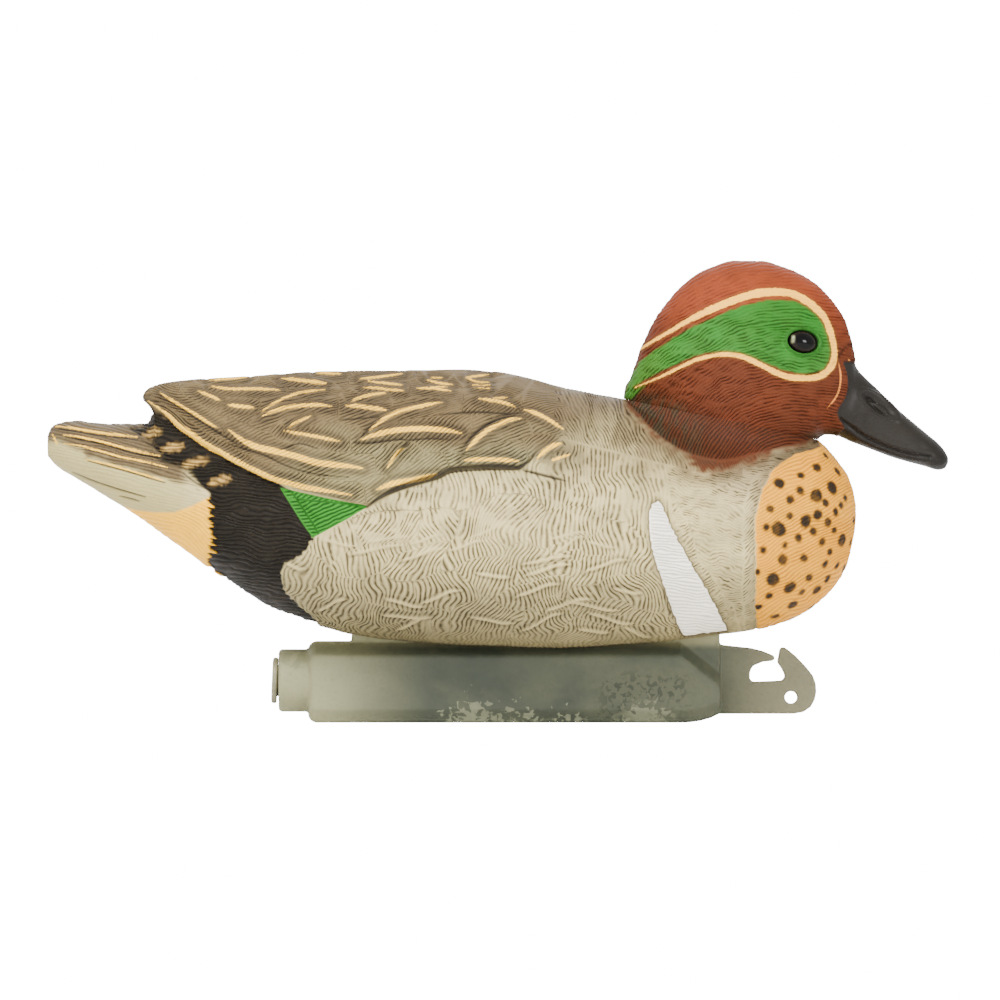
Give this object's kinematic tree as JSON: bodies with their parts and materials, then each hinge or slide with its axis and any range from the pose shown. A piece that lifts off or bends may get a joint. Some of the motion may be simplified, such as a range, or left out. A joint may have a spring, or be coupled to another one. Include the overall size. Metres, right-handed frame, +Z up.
{
  "type": "floating duck decoy",
  "caption": "Floating drake teal decoy with a turning head and a ballasted keel whose front tab has a hook slot for an anchor line.",
  "frame": {"origin": "centre of the overall bounding box in X and Y, on the keel's flat bottom", "axes": "+X from tail to bill, +Z up, +Y to the duck's left; the decoy is mirror-symmetric about Y = 0"},
  "size_m": [0.31, 0.1178, 0.1584],
  "materials": {
    "body_paint": "matte painted moulded feather texture",
    "head_paint": "matte painted moulded feather texture",
    "eye_glass": "polished black",
    "keel_plastic": "satin olive grey with pale scuffs",
    "plug_plastic": "satin",
    "sand": "packed dry sand",
    "screw_steel": "plain zinc"
  },
  "bodies": {
    "body": {"body_shell": "body_paint", "keel_shell": "keel_plastic", "keel_ballast": "sand", "keel_screw_rear": "screw_steel", "keel_screw_front": "screw_steel"},
    "head": {"head_shell": "head_paint", "eye_right": "eye_glass", "eye_left": "eye_glass"},
    "plug": {"keel_plug": "plug_plastic"}
  },
  "joints": [
    {"name": "head_turn", "type": "hinge", "parent": "body", "child": "head", "pos_m": [0.07655, 0, 0.1044], "axis": [0.2048, 0, 0.9788], "range_deg": [-45, 45]},
    {"name": "plug_pull", "type": "slide", "parent": "body", "child": "plug", "axis": [-1, 0, 0], "range_m": [0, 0.012]}
  ]
}
